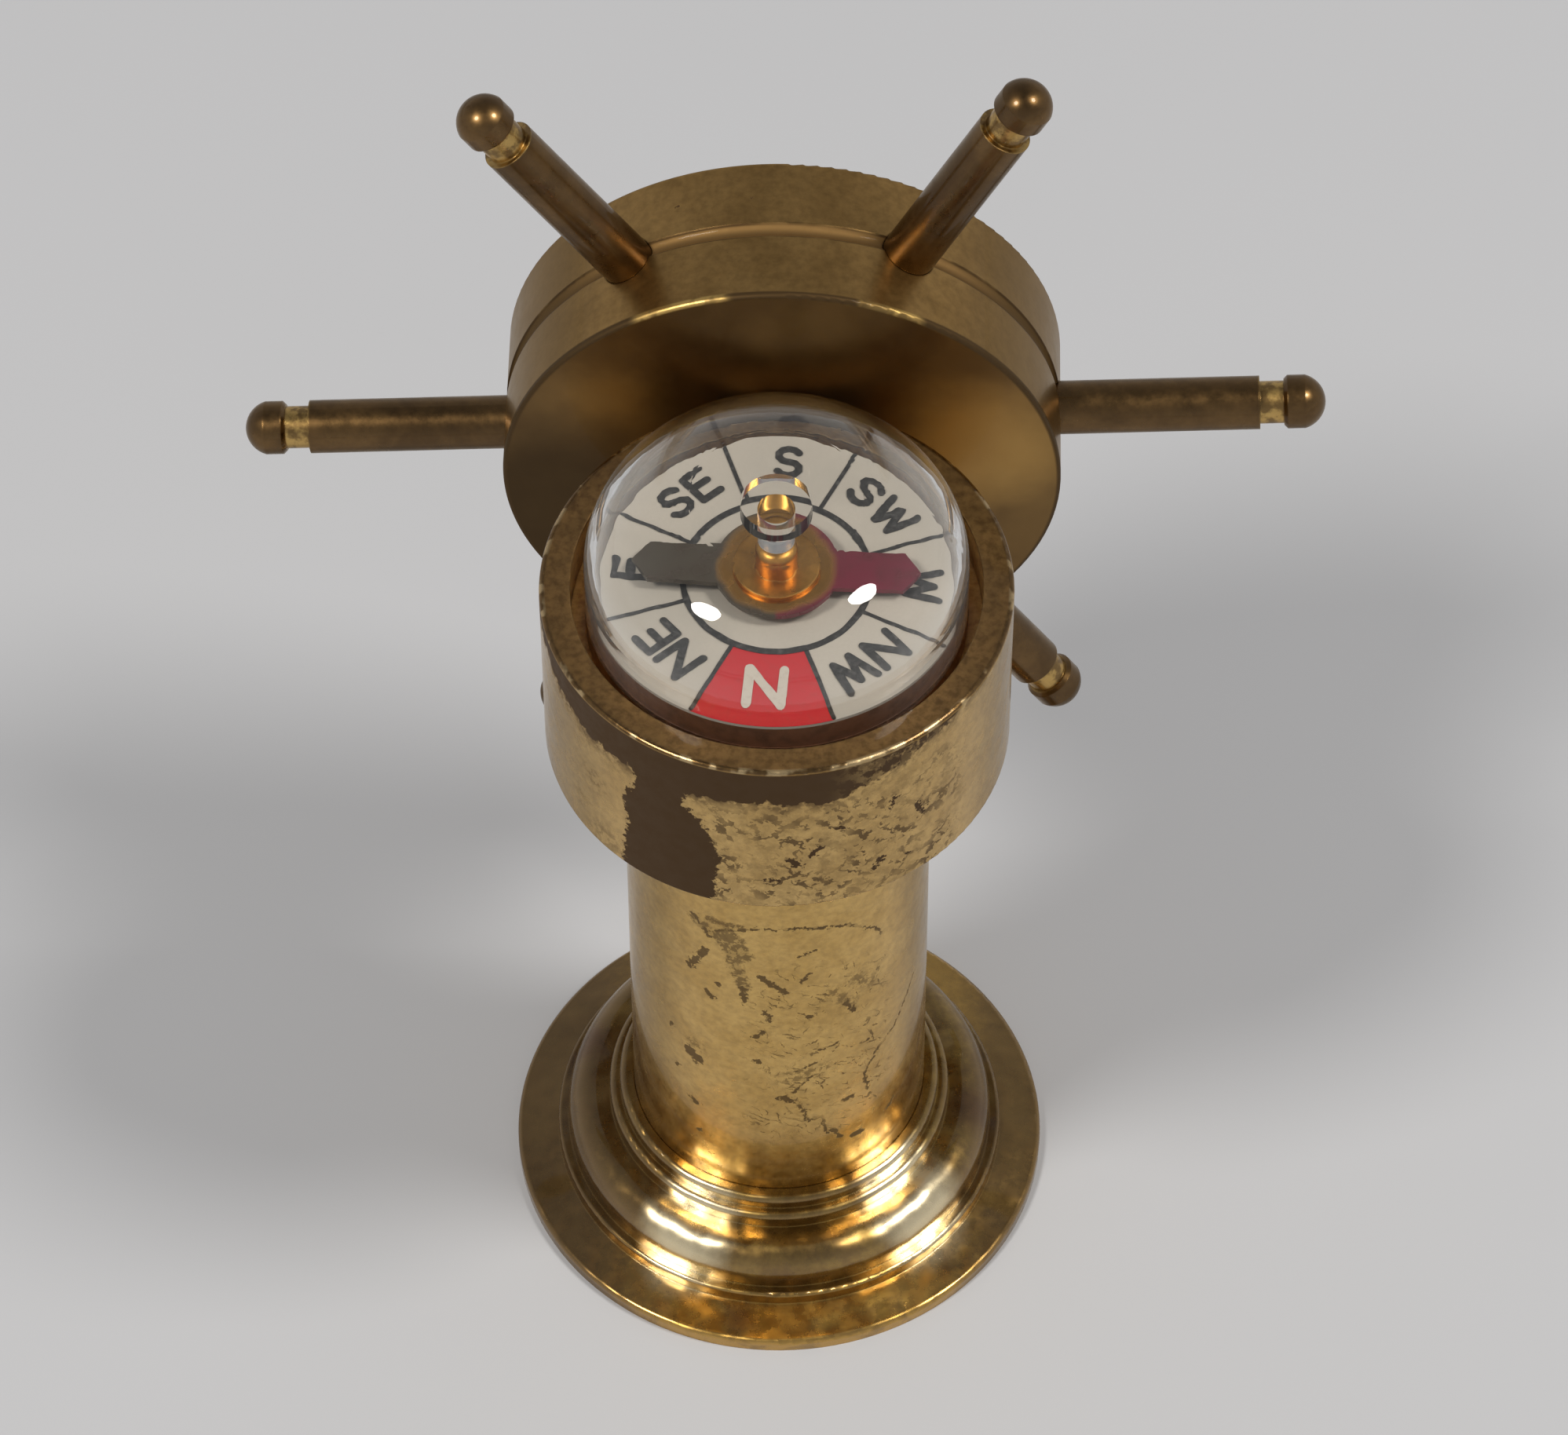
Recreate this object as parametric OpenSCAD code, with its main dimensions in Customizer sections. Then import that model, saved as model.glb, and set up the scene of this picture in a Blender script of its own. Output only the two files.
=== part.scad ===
// Ship's wheel desk compass: a turned brass foot, column and cup carry a small
// domed compass, and a six-spoke wheel turns on an axle behind the cup.
// Millimetres. The foot stands on z = 0, centred on the column's axis. The compass
// is read from the -Y side, and the wheel is on the +Y side.

/* [Foot] */
// Diameter of the foot where it stands
foot_d = 30; // [29:0.5:36]
// Height of the foot's plain edge
foot_edge_h = 0.85; // [0.7:0.05:1.2]
// Rounding of the foot's top edge
foot_edge_round = 0.3; // [0.1:0.05:0.5]
// Rise of the flange from its edge to the first step
flange_rise = 0.35; // [0.2:0.05:0.8]
// Height of the first step
step_h = 0.85; // [0.5:0.05:1.2]
// Rounding of the first step
step_round = 0.2; // [0.1:0.05:0.35]
// Distance that the first step stands out from the round shoulder
step_w = 0.6; // [0.3:0.05:0.8]
// Height of the round shoulder above the first step
shoulder_h = 2.45; // [1.8:0.05:2.8]
// Distance that the round shoulder stands out from the collar
shoulder_w = 2.4; // [1.8:0.1:2.8]
// Rounding of the shoulder
shoulder_round = 1.6; // [1:0.1:1.7]
// Height of the collar above the shoulder
collar_h = 1; // [0.8:0.1:1.6]
// Distance that the collar stands out from the bead
collar_w = 0.6; // [0.4:0.1:1]
// Height of the bead around the column
bead_h = 0.8; // [0.7:0.05:1.2]
// Wall of the bead around the column
bead_w = 0.8; // [0.6:0.05:1.1]
// Rounding of the collar and the bead
bead_round = 0.35; // [0.1:0.05:0.4]
// Depth of the socket that holds the column
socket_depth = 2.5; // [2:0.1:2.8]

/* [Column] */
// Diameter of the column
column_d = 16.5; // [14:0.1:17.6]
// Length of the column, from its seat in the foot to the cup
column_l = 35.05; // [28:0.05:45]
// Diameter of the spigot that centres the cup
spigot_d = 10; // [8:0.5:12]
// Height of the spigot that centres the cup
spigot_h = 1.2; // [0.8:0.1:2]

/* [Cup] */
// Height of the cup
cup_h = 11.65; // [11:0.05:15]
// Wall of the cup around the capsule
rim_w = 1.6; // [1.2:0.1:2.5]
// Depth of the bore that holds the capsule
bore_depth = 2.5; // [1.8:0.1:3]
// Gap all round between the capsule and the bore
capsule_gap = 0.76; // [0.3:0.02:1]
// Rounding of the cup's outer edges
cup_round = 0.25; // [0.1:0.05:0.5]
// Depth of the flat cut in the back of the cup for the axle
spot_depth = 0.45; // [0.25:0.05:0.5]

/* [Compass capsule] */
// Diameter of the capsule
capsule_d = 20; // [18:0.5:24]
// Height of the base's flange
flange_h = 1.2; // [0.8:0.1:1.6]
// Height of the base above its flange
base_rise = 1.55; // [1.2:0.05:2]
// Thickness of the dial card
card_t = 0.2; // [0.15:0.05:0.4]
// Height of the dome
dome_h = 8.4; // [7.8:0.05:9.5]
// Thickness of the dome's wall
dome_t = 0.6; // [0.5:0.05:0.9]
// Radius of the dome's rounded shoulder
dome_round = 5.5; // [4.5:0.1:6]
// Diameter of the round boss inside the dome's top
boss_d = 3.7; // [3:0.1:5]
// Height of the round boss inside the dome's top
boss_h = 1; // [0.6:0.1:1.2]
// Diameter of the post that keeps the needle on its pin
post_d = 1.95; // [1.4:0.05:2.4]
// Gap between the post and the needle's cap
post_gap = 0.4; // [0.2:0.05:0.5]

/* [Needle] */
// Length of the needle
needle_l = 15; // [12:0.5:16]
// Width of the needle's arms
needle_w = 2.4; // [1.8:0.1:3]
// Length of each pointed end
point_l = 0.9; // [0.5:0.1:2]
// Diameter of the disc at the needle's middle
needle_disc_d = 6.4; // [5:0.1:8]
// Thickness of the needle
needle_t = 0.3; // [0.2:0.05:0.5]
// Height of the needle above the dial card
needle_rise = 0.65; // [0.5:0.05:1]
// Turn of the needle's red end from +X, in degrees
needle_turn = -2.5; // [-180:0.5:180]
// Diameter of the cap's flange
cap_flange_d = 4.4; // [3.6:0.1:5]
// Thickness of the cap's flange
cap_flange_t = 0.25; // [0.2:0.05:0.4]
// Diameter of the cap
cap_d = 2.2; // [2:0.1:2.8]
// Height of the cap above the needle
cap_h = 1.65; // [1.4:0.05:2]
// Thickness of the cap above the pin
cap_roof = 0.5; // [0.3:0.05:0.6]
// Rounding of the cap's top
cap_round = 0.5; // [0.2:0.1:0.5]
// Length of the cap's sleeve below the needle
sleeve_drop = 0.25; // [0.15:0.05:0.35]
// Wall of the cap's sleeve
sleeve_w = 0.4; // [0.3:0.05:0.5]
// Diameter of the pivot pin
pin_d = 0.8; // [0.6:0.05:1]
// Depth of the pivot pin in the base
pin_depth = 1.5; // [1:0.1:2]
// Length of the pivot pin's tapered point
pin_point = 0.6; // [0.4:0.1:0.8]
// Radius of the flat at the pivot pin's tip
pin_tip_r = 0.08; // [0.05:0.01:0.15]

/* [Wheel] */
// Diameter of the wheel's drum
drum_d = 30; // [26:0.25:34]
// Thickness of the wheel's drum
drum_t = 9.35; // [7.5:0.05:12]
// Rounding of the drum's two rims
drum_round = 0.2; // [0.1:0.05:0.5]
// Distance from the drum's front face to the middle of the groove
groove_set = 4.65; // [3:0.05:5.5]
// Width of the groove around the drum
groove_w = 0.95; // [0.6:0.05:1.6]
// Depth of the groove around the drum
groove_depth = 0.25; // [0.1:0.05:0.5]
// Turn of the first spoke from +X, in degrees
wheel_turn = 3.5; // [-30:0.5:30]
// Distance from the axle to the tip of each spoke
spoke_reach = 29.3; // [24:0.1:34]
// Diameter of the spokes
spoke_d = 2.9; // [2.4:0.1:3.2]
// Distance from the drum's front face to the spokes' centre lines
spoke_set = 4.5; // [3:0.05:5.5]
// Depth of each spoke in the drum
spoke_depth = 5; // [3:0.1:6]
// Diameter of the neck below each knob
neck_d = 2.3; // [1.6:0.1:2.4]
// Length of the neck below each knob
neck_l = 1.3; // [0.8:0.1:2]
// Diameter of the knobs
knob_d = 2.9; // [2.4:0.1:3.6]
// Length of the knobs
knob_l = 2.25; // [2:0.05:3.5]
// Height of each knob's domed end
knob_dome_h = 1.1; // [0.6:0.1:1.2]
// Bevel at the foot of each knob
knob_bevel = 0.2; // [0.1:0.05:0.3]

/* [Axle and washers] */
// Height of the axle above the bottom of the cup
axle_rise = 4.8; // [4.6:0.1:6.5]
// Diameter of the axle that the drum turns on
axle_d = 4; // [3.6:0.1:5]
// Diameter of the axle's threaded end
axle_thread_d = 3; // [2.5:0.1:3.2]
// Length of the axle's threaded end in the cup
axle_thread_l = 6; // [4:0.5:6.5]
// Diameter of the axle's head
axle_head_d = 6.6; // [6:0.1:7.5]
// Height of the axle's head
axle_head_h = 1.5; // [1.2:0.1:2]
// Distance from the axle's head to the drum's back face
axle_head_sink = 0.3; // [0.1:0.1:0.6]
// Diameter of the washer between the cup and the drum
front_washer_d = 5.4; // [5:0.1:5.6]
// Thickness of the washer between the cup and the drum
front_washer_t = 0.65; // [0.6:0.05:1]
// Diameter of the washer under the axle's head
back_washer_d = 8; // [7.6:0.1:9]
// Thickness of the washer under the axle's head
back_washer_t = 0.5; // [0.4:0.1:0.8]

/* [Screws] */
// Diameter of the foot and cup screws
screw_d = 3; // [2.5:0.1:3.5]
// Diameter of the screw heads
screw_head_d = 6; // [5.5:0.1:6.5]
// Height of the screw heads
screw_head_h = 1.6; // [1.2:0.1:1.8]
// Distance from a screw head to the face it is sunk below
screw_sink = 0.4; // [0.3:0.1:0.6]
// Length of the foot screw in the column
foot_screw_grip = 6.8; // [5:0.1:9]
// Length of the cup screw in the column
cup_screw_grip = 7; // [5:0.1:9]
// Width of the screwdriver slots
slot_w = 0.9; // [0.6:0.1:1.2]
// Depth of the screwdriver slots
slot_depth = 0.8; // [0.5:0.1:1]

/* [Clearances] */
// Gap all round between fixed round pieces
joint_gap = 0.02; // [0.01:0.01:0.05]
// Gap all round between turning pieces
running_gap = 0.05; // [0.03:0.01:0.09]
// End play at each side of the turning drum
end_play = 0.1; // [0.05:0.05:0.2]
// Gap all round a screw head
head_gap = 0.3; // [0.2:0.1:0.5]
// Depth of a screw hole beyond the end of its screw
hole_run_out = 0.5; // [0.3:0.1:1]

/* [Hidden] */
$fn = 96;
cut = 0.1;
spokes = 6;

foot_r = foot_d / 2;
column_r = column_d / 2;
bead_r = column_r + bead_w;
collar_r = bead_r + collar_w;
shoulder_r = collar_r + shoulder_w;
step_r = shoulder_r + step_w;
flange_top = foot_edge_h + flange_rise;
step_top = flange_top + step_h;
shoulder_top = step_top + shoulder_h;
collar_top = shoulder_top + collar_h;
foot_top = collar_top + bead_h;

screw_r = screw_d / 2;
screw_head_r = screw_head_d / 2;
screw_pocket_h = screw_head_h + screw_sink;

column_z = foot_top - socket_depth;
cup_z = column_z + column_l;
cup_top = cup_z + cup_h;
seat_z = cup_top - bore_depth;
capsule_r = capsule_d / 2;
bore_r = capsule_r + capsule_gap;
cup_r = bore_r + rim_w;
foot_screw_l = column_z - screw_pocket_h + foot_screw_grip;
cup_screw_z = seat_z - screw_pocket_h;
cup_screw_l = cup_screw_z - cup_z + cup_screw_grip;

dome_z = seat_z + flange_h;
dome_top = dome_z + dome_h;
dome_bore_r = capsule_r - dome_t;
base_r = dome_bore_r - joint_gap;
card_z = dome_z + base_rise;
card_top = card_z + card_t;
needle_z = card_top + needle_rise;
needle_top = needle_z + needle_t;
cap_top = needle_top + cap_h;
sleeve_z = needle_z - sleeve_drop;
pin_r = pin_d / 2;
cap_bore_r = pin_r + running_gap;
sleeve_r = cap_bore_r + sleeve_w;
pin_z = card_z - pin_depth;
pin_top = cap_top - cap_roof - running_gap;

axle_z = cup_z + axle_rise;
axle_r = axle_d / 2;
axle_thread_r = axle_thread_d / 2;
spot_y = cup_r - spot_depth;
shoulder_y = spot_y + front_washer_t;
drum_y = shoulder_y + end_play;
drum_back_y = drum_y + drum_t;
drum_r = drum_d / 2;
groove_r = (pow(groove_w / 2, 2) + pow(groove_depth, 2)) / (2 * groove_depth);
axle_head_y = drum_back_y - axle_head_sink - axle_head_h;
back_washer_y = axle_head_y - back_washer_t;
recess_y = back_washer_y - end_play;
recess_r = back_washer_d / 2 + head_gap;
spoke_r = spoke_d / 2;
spoke_start = drum_r - spoke_depth;
knob_r = knob_d / 2;
knob_start = spoke_reach - knob_l;
neck_start = knob_start - neck_l;
knob_sphere_r = (pow(knob_r, 2) + pow(knob_dome_h, 2)) / (2 * knob_dome_h);

// Half outline of a disc with a rounded top edge
module rounded_disc(radius, bottom, top, edge) {
    translate([0, bottom]) square([radius, top - bottom - edge]);
    translate([0, bottom]) square([radius - edge, top - bottom]);
    translate([radius - edge, top - edge]) intersection() {
        circle(r = edge);
        square(edge);
    }
}

// Half outline of a disc with both its edges rounded
module rounded_drum(radius, bottom, top, edge) {
    translate([0, bottom]) square([radius - edge, top - bottom]);
    translate([0, bottom + edge]) square([radius, top - bottom - 2 * edge]);
    for (height = [bottom + edge, top - edge])
        translate([radius - edge, height]) circle(r = edge);
}

// Flat ring lying from z = 0 upwards
module washer(outer, inner, thickness) {
    linear_extrude(thickness) difference() {
        circle(r = outer);
        circle(r = inner);
    }
}

// Slotted screw that points up, with the underside of its head on z = 0
module slotted_screw(length) {
    cylinder(r = screw_r, h = length);
    difference() {
        translate([0, 0, -screw_head_h]) cylinder(r = screw_head_r, h = screw_head_h);
        translate([-screw_head_r - cut, -slot_w / 2, -screw_head_h - cut])
            cube([2 * (screw_head_r + cut), slot_w, slot_depth + cut]);
    }
}

// Places a piece on the wheel's axis, with its own z axis along +Y
module on_axle(y) {
    translate([0, y, axle_z]) rotate([-90, 0, 0]) children();
}

module foot() {
    color("#96742f") difference() {
        rotate_extrude() {
            rounded_disc(foot_r, 0, foot_edge_h, foot_edge_round);
            polygon([
                [0, 0], [foot_r - foot_edge_round, 0], [foot_r - foot_edge_round, foot_edge_h],
                [step_r, flange_top], [0, flange_top]
            ]);
            rounded_disc(step_r, 0, step_top, step_round);
            rounded_disc(shoulder_r, 0, shoulder_top, shoulder_round);
            rounded_disc(collar_r, 0, collar_top, bead_round);
            rounded_disc(bead_r, 0, foot_top, bead_round);
        }
        translate([0, 0, column_z]) cylinder(r = column_r + joint_gap, h = socket_depth + cut);
        translate([0, 0, -cut]) cylinder(r = screw_r + joint_gap, h = column_z + 2 * cut);
        translate([0, 0, -cut]) cylinder(r = screw_head_r + head_gap, h = screw_pocket_h + cut);
    }
}

module foot_screw() {
    color("#8b8f94") translate([0, 0, screw_pocket_h]) slotted_screw(foot_screw_l);
}

module column() {
    color("#c3a35a") difference() {
        union() {
            translate([0, 0, column_z]) cylinder(r = column_r, h = column_l);
            translate([0, 0, column_z]) cylinder(r = spigot_d / 2, h = column_l + spigot_h);
        }
        translate([0, 0, column_z - cut])
            cylinder(r = screw_r + joint_gap, h = foot_screw_grip + hole_run_out + cut);
        translate([0, 0, cup_z - cup_screw_grip - hole_run_out])
            cylinder(r = screw_r + joint_gap, h = cup_screw_grip + hole_run_out + spigot_h + cut);
    }
}

module cup() {
    color("#b5954b") difference() {
        rotate_extrude() rounded_drum(cup_r, cup_z, cup_top, cup_round);
        translate([0, 0, seat_z]) cylinder(r = bore_r, h = bore_depth + cut);
        translate([0, 0, cup_screw_z]) cylinder(r = screw_head_r + head_gap, h = screw_pocket_h + cut);
        translate([0, 0, cup_z - cut]) cylinder(r = screw_r + joint_gap, h = cup_h);
        translate([0, 0, cup_z - cut]) cylinder(r = spigot_d / 2 + joint_gap, h = spigot_h + cut);
        on_axle(spot_y) cylinder(r = front_washer_d / 2 + head_gap, h = cup_r);
        on_axle(spot_y - axle_thread_l - hole_run_out)
            cylinder(r = axle_thread_r + joint_gap, h = axle_thread_l + hole_run_out + cut);
    }
}

module cup_screw() {
    color("#8b8f94") translate([0, 0, cup_screw_z]) mirror([0, 0, 1]) slotted_screw(cup_screw_l);
}

module capsule_base() {
    color("#3d2c20") difference() {
        union() {
            translate([0, 0, seat_z]) cylinder(r = capsule_r, h = flange_h);
            translate([0, 0, dome_z]) cylinder(r = base_r, h = base_rise);
        }
        translate([0, 0, pin_z]) cylinder(r = pin_r + joint_gap, h = pin_depth + cut);
    }
}

module dial_card() {
    color("#f1efe8") translate([0, 0, card_z]) washer(base_r, pin_r + joint_gap, card_t);
}

module pivot_pin() {
    color("#a9adb1") {
        translate([0, 0, pin_z]) cylinder(r = pin_r, h = pin_top - pin_point - pin_z);
        translate([0, 0, pin_top - pin_point]) cylinder(r1 = pin_r, r2 = pin_tip_r, h = pin_point);
    }
}

module needle() {
    half_l = needle_l / 2;
    half_w = needle_w / 2;
    color("#4a3436") translate([0, 0, needle_z]) rotate(needle_turn) linear_extrude(needle_t) difference() {
        union() {
            polygon([
                [half_l, 0], [half_l - point_l, half_w], [point_l - half_l, half_w],
                [-half_l, 0], [point_l - half_l, -half_w], [half_l - point_l, -half_w]
            ]);
            circle(d = needle_disc_d);
        }
        circle(r = sleeve_r + joint_gap);
    }
}

module needle_cap() {
    color("#b98d3a") difference() {
        union() {
            translate([0, 0, sleeve_z]) cylinder(r = sleeve_r, h = sleeve_drop + needle_t + cap_flange_t);
            translate([0, 0, needle_top]) cylinder(d = cap_flange_d, h = cap_flange_t);
            rotate_extrude() rounded_disc(cap_d / 2, needle_top, cap_top, cap_round);
        }
        translate([0, 0, sleeve_z - cut]) cylinder(r = cap_bore_r, h = cap_top - cap_roof - sleeve_z + cut);
    }
}

module dome() {
    color("#d9e4e8", 0.35) union() {
        rotate_extrude() difference() {
            rounded_disc(capsule_r, dome_z, dome_top, dome_round);
            rounded_disc(dome_bore_r, dome_z - cut, dome_top - dome_t, dome_round - dome_t);
            square([capsule_r, dome_z]);
        }
        translate([0, 0, dome_top - dome_t - boss_h]) cylinder(d = boss_d, h = boss_h + dome_t / 2);
        translate([0, 0, cap_top + post_gap])
            cylinder(d = post_d, h = dome_top - dome_t / 2 - cap_top - post_gap);
    }
}

module front_washer() {
    color("#a88a4a") on_axle(spot_y)
        washer(front_washer_d / 2, axle_thread_r + joint_gap, front_washer_t);
}

module axle_screw() {
    color("#8b8f94") {
        on_axle(spot_y - axle_thread_l) cylinder(r = axle_thread_r, h = axle_thread_l + front_washer_t);
        on_axle(shoulder_y) cylinder(r = axle_r, h = axle_head_y - shoulder_y);
        difference() {
            on_axle(axle_head_y) cylinder(d = axle_head_d, h = axle_head_h);
            translate([-axle_head_d, axle_head_y + axle_head_h - slot_depth, axle_z - slot_w / 2])
                cube([2 * axle_head_d, slot_depth + cut, slot_w]);
        }
    }
}

module back_washer() {
    color("#a88a4a") on_axle(back_washer_y)
        washer(back_washer_d / 2, axle_r + joint_gap, back_washer_t);
}

module wheel_drum() {
    color("#8c6c2e") difference() {
        on_axle(drum_y) rotate_extrude() difference() {
            rounded_drum(drum_r, 0, drum_t, drum_round);
            translate([drum_r - groove_depth + groove_r, groove_set]) circle(r = groove_r);
        }
        on_axle(drum_y - cut) cylinder(r = axle_r + running_gap, h = drum_t + 2 * cut);
        on_axle(recess_y) cylinder(r = recess_r, h = drum_back_y - recess_y + cut);
        for (i = [0 : spokes - 1])
            on_spoke(i) translate([0, 0, spoke_start]) cylinder(r = spoke_r + joint_gap, h = drum_r);
    }
}

// Places a piece on a spoke's line, with its own z axis pointing out from the axle
module on_spoke(index) {
    translate([0, drum_y + spoke_set, axle_z])
        rotate([0, 90 - wheel_turn - index * 360 / spokes, 0]) children();
}

module spoke(index) {
    color("#7d5f29") on_spoke(index) {
        translate([0, 0, spoke_start]) cylinder(r = spoke_r, h = neck_start - spoke_start);
        translate([0, 0, neck_start]) cylinder(d = neck_d, h = neck_l + knob_bevel);
        translate([0, 0, knob_start])
            cylinder(r1 = knob_r - knob_bevel, r2 = knob_r, h = knob_bevel);
        intersection() {
            translate([0, 0, knob_start + knob_bevel]) cylinder(r = knob_r, h = knob_l);
            translate([0, 0, spoke_reach - knob_sphere_r]) sphere(r = knob_sphere_r);
        }
        translate([0, 0, knob_start + knob_bevel])
            cylinder(r = knob_r, h = knob_l - knob_dome_h - knob_bevel);
    }
}

module spoke_1() { spoke(0); }
module spoke_2() { spoke(1); }
module spoke_3() { spoke(2); }
module spoke_4() { spoke(3); }
module spoke_5() { spoke(4); }
module spoke_6() { spoke(5); }

foot();
foot_screw();
column();
cup();
cup_screw();
capsule_base();
dial_card();
pivot_pin();
needle();
needle_cap();
dome();
front_washer();
axle_screw();
back_washer();
wheel_drum();
spoke_1();
spoke_2();
spoke_3();
spoke_4();
spoke_5();
spoke_6();
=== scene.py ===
"""The looks of a small brass desk compass with a ship's wheel, dressed over its CAD frame.

Everything is in metres, in the frame's own axes: +Z up, the reader on the -Y side.
Places on the object are written in millimetres and scaled by MM.
"""
import math

import bpy
from mathutils import Matrix, Vector


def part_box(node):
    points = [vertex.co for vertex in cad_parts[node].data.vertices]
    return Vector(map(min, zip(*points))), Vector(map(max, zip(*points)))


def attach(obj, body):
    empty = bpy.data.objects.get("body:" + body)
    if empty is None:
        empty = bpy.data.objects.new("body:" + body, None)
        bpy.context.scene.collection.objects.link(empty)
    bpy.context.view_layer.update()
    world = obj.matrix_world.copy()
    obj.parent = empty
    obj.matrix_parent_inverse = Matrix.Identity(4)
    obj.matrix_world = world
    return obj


MM = 0.001
DEG = math.pi / 180

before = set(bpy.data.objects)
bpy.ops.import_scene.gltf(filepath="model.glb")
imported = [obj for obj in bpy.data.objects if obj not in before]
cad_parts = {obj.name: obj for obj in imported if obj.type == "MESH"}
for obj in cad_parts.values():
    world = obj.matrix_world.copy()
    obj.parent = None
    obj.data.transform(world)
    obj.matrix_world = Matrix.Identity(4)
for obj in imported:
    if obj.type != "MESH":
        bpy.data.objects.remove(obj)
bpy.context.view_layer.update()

# Camera: the eye in millimetres, the turns in radians
EYE = (5.375, -228.216, 337.776)
LOOK_YAW = 0.02198
LOOK_DOWN = 0.91825
LOOK_ROLL = -0.00336
FOCAL_PX = 9000
IMAGE_W = 1997
SENSOR_W = 36
NEAR_CLIP = 0.01

# Lamps and surroundings
LAMP_DISTANCE = 0.9
LAMP_RADIUS = 0.11
LEFT_LAMP_FROM = (-0.494, -0.316, 0.81)
RIGHT_LAMP_FROM = (0.55, -0.10, 0.83)
LAMP_POWER = 3.75
LAMP_COLOUR = (1.0, 0.975, 0.94)
HORIZON = (0.54, 0.54, 0.55, 1)
CEILING = (0.17, 0.17, 0.175, 1)
FLOOR_SIZE = 3.0
FLOOR_COLOUR = (0.545, 0.55, 0.565, 1)
FLOOR_FAINT = (0.525, 0.53, 0.54, 1)
FLOOR_ROUGHNESS = 0.7

# Dial print, in millimetres
DIAL_TURN = -93.6 * DEG
SECTORS = 8
RING_R = 4.85
RING_W = 0.36
RING_STEPS = 16
LINE_W = 0.22
NORTH_STEPS = {"edge": 24, "ring": 12}
PRINT_LIFT = 0.02
PRINT_T = 0.02
STROKE_LIFT = 0.002


class Shader:
    """A material made node by node. Each call adds a node and returns its first output."""

    def __init__(self, name):
        self.material = bpy.data.materials.new(name)
        self.material.use_nodes = True
        self.tree = self.material.node_tree
        self.tree.nodes.clear()
        self.out = self.tree.nodes.new("ShaderNodeOutputMaterial")
        self.bsdf = self.tree.nodes.new("ShaderNodeBsdfPrincipled")
        self.tree.links.new(self.bsdf.outputs[0], self.out.inputs["Surface"])
        self.place = self.add("TexCoord").node.outputs["Object"]

    def put(self, socket, value):
        if isinstance(value, bpy.types.NodeSocket):
            self.tree.links.new(value, socket)
        elif value is not None:
            socket.default_value = value

    def add(self, kind, settings=None, **inputs):
        node = self.tree.nodes.new("ShaderNode" + kind)
        for key, value in (settings or {}).items():
            setattr(node, key, value)
        for key, value in inputs.items():
            self.put(node.inputs[key.replace("_", " ")], value)
        return node.outputs[0]

    def set(self, **inputs):
        for key, value in inputs.items():
            self.put(self.bsdf.inputs[key.replace("_", " ")], value)

    def maths(self, operation, *values):
        node = self.tree.nodes.new("ShaderNodeMath")
        node.operation = operation
        for socket, value in zip(node.inputs, values):
            self.put(socket, value)
        return node.outputs[0]

    def vector(self, operation, *values, number=False):
        node = self.tree.nodes.new("ShaderNodeVectorMath")
        node.operation = operation
        for socket, value in zip(node.inputs, values):
            self.put(socket, value)
        return node.outputs["Value" if number else "Vector"]

    def split(self, vector):
        node = self.tree.nodes.new("ShaderNodeSeparateXYZ")
        self.put(node.inputs[0], vector)
        return node.outputs

    def join(self, x, y, z):
        return self.add("CombineXYZ", X=x, Y=y, Z=z)

    def noise(self, per_mm, detail=3.0, rough=0.55, place=None, warp=0.0):
        """Noise with this many lumps to the millimetre, or to the unit of the given place."""
        scale = per_mm / MM if place is None else per_mm
        return self.add(
            "TexNoise", Vector=place or self.place, Scale=scale, Detail=detail,
            Roughness=rough, Distortion=warp,
        )

    def ramp(self, factor, low, high, low_value=0.0, high_value=1.0):
        return self.add(
            "MapRange", {"interpolation_type": "SMOOTHSTEP"}, Value=factor, From_Min=low,
            From_Max=high, To_Min=low_value, To_Max=high_value,
        )

    def band(self, value, low, high, soft):
        """One between low and high, and none outside, with soft edges."""
        return self.maths(
            "MULTIPLY", self.ramp(value, low - soft, low + soft),
            self.ramp(value, high - soft, high + soft, 1.0, 0.0),
        )

    def both(self, *masks):
        product = masks[0]
        for mask in masks[1:]:
            product = self.maths("MULTIPLY", product, mask)
        return product

    def either(self, *masks):
        most = masks[0]
        for mask in masks[1:]:
            most = self.maths("MAXIMUM", most, mask)
        return most

    def blend(self, factor, first, second):
        node = self.tree.nodes.new("ShaderNodeMix")
        node.data_type = "RGBA"
        colours = [s for s in node.inputs if s.type == "RGBA"]
        self.put(node.inputs[0], factor)
        self.put(colours[0], first)
        self.put(colours[1], second)
        return next(s for s in node.outputs if s.type == "RGBA")

    def bump(self, height, strength, depth_mm, normal=None):
        return self.add(
            "Bump", Height=height, Strength=strength, Distance=depth_mm * MM, Normal=normal
        )

    def in_mm(self, length):
        return self.maths("DIVIDE", length, MM)

    def inverse(self, mask):
        return self.maths("SUBTRACT", 1.0, mask)

    def length(self, across, along):
        return self.vector("LENGTH", self.join(across, along, 0.0), number=True)

    def patchy(self, pattern, low, high, low_value=0.0, high_value=1.0):
        """Values that follow a noise pattern between these two levels of it."""
        return self.ramp(self.noise(*pattern), low, high, low_value, high_value)


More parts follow.
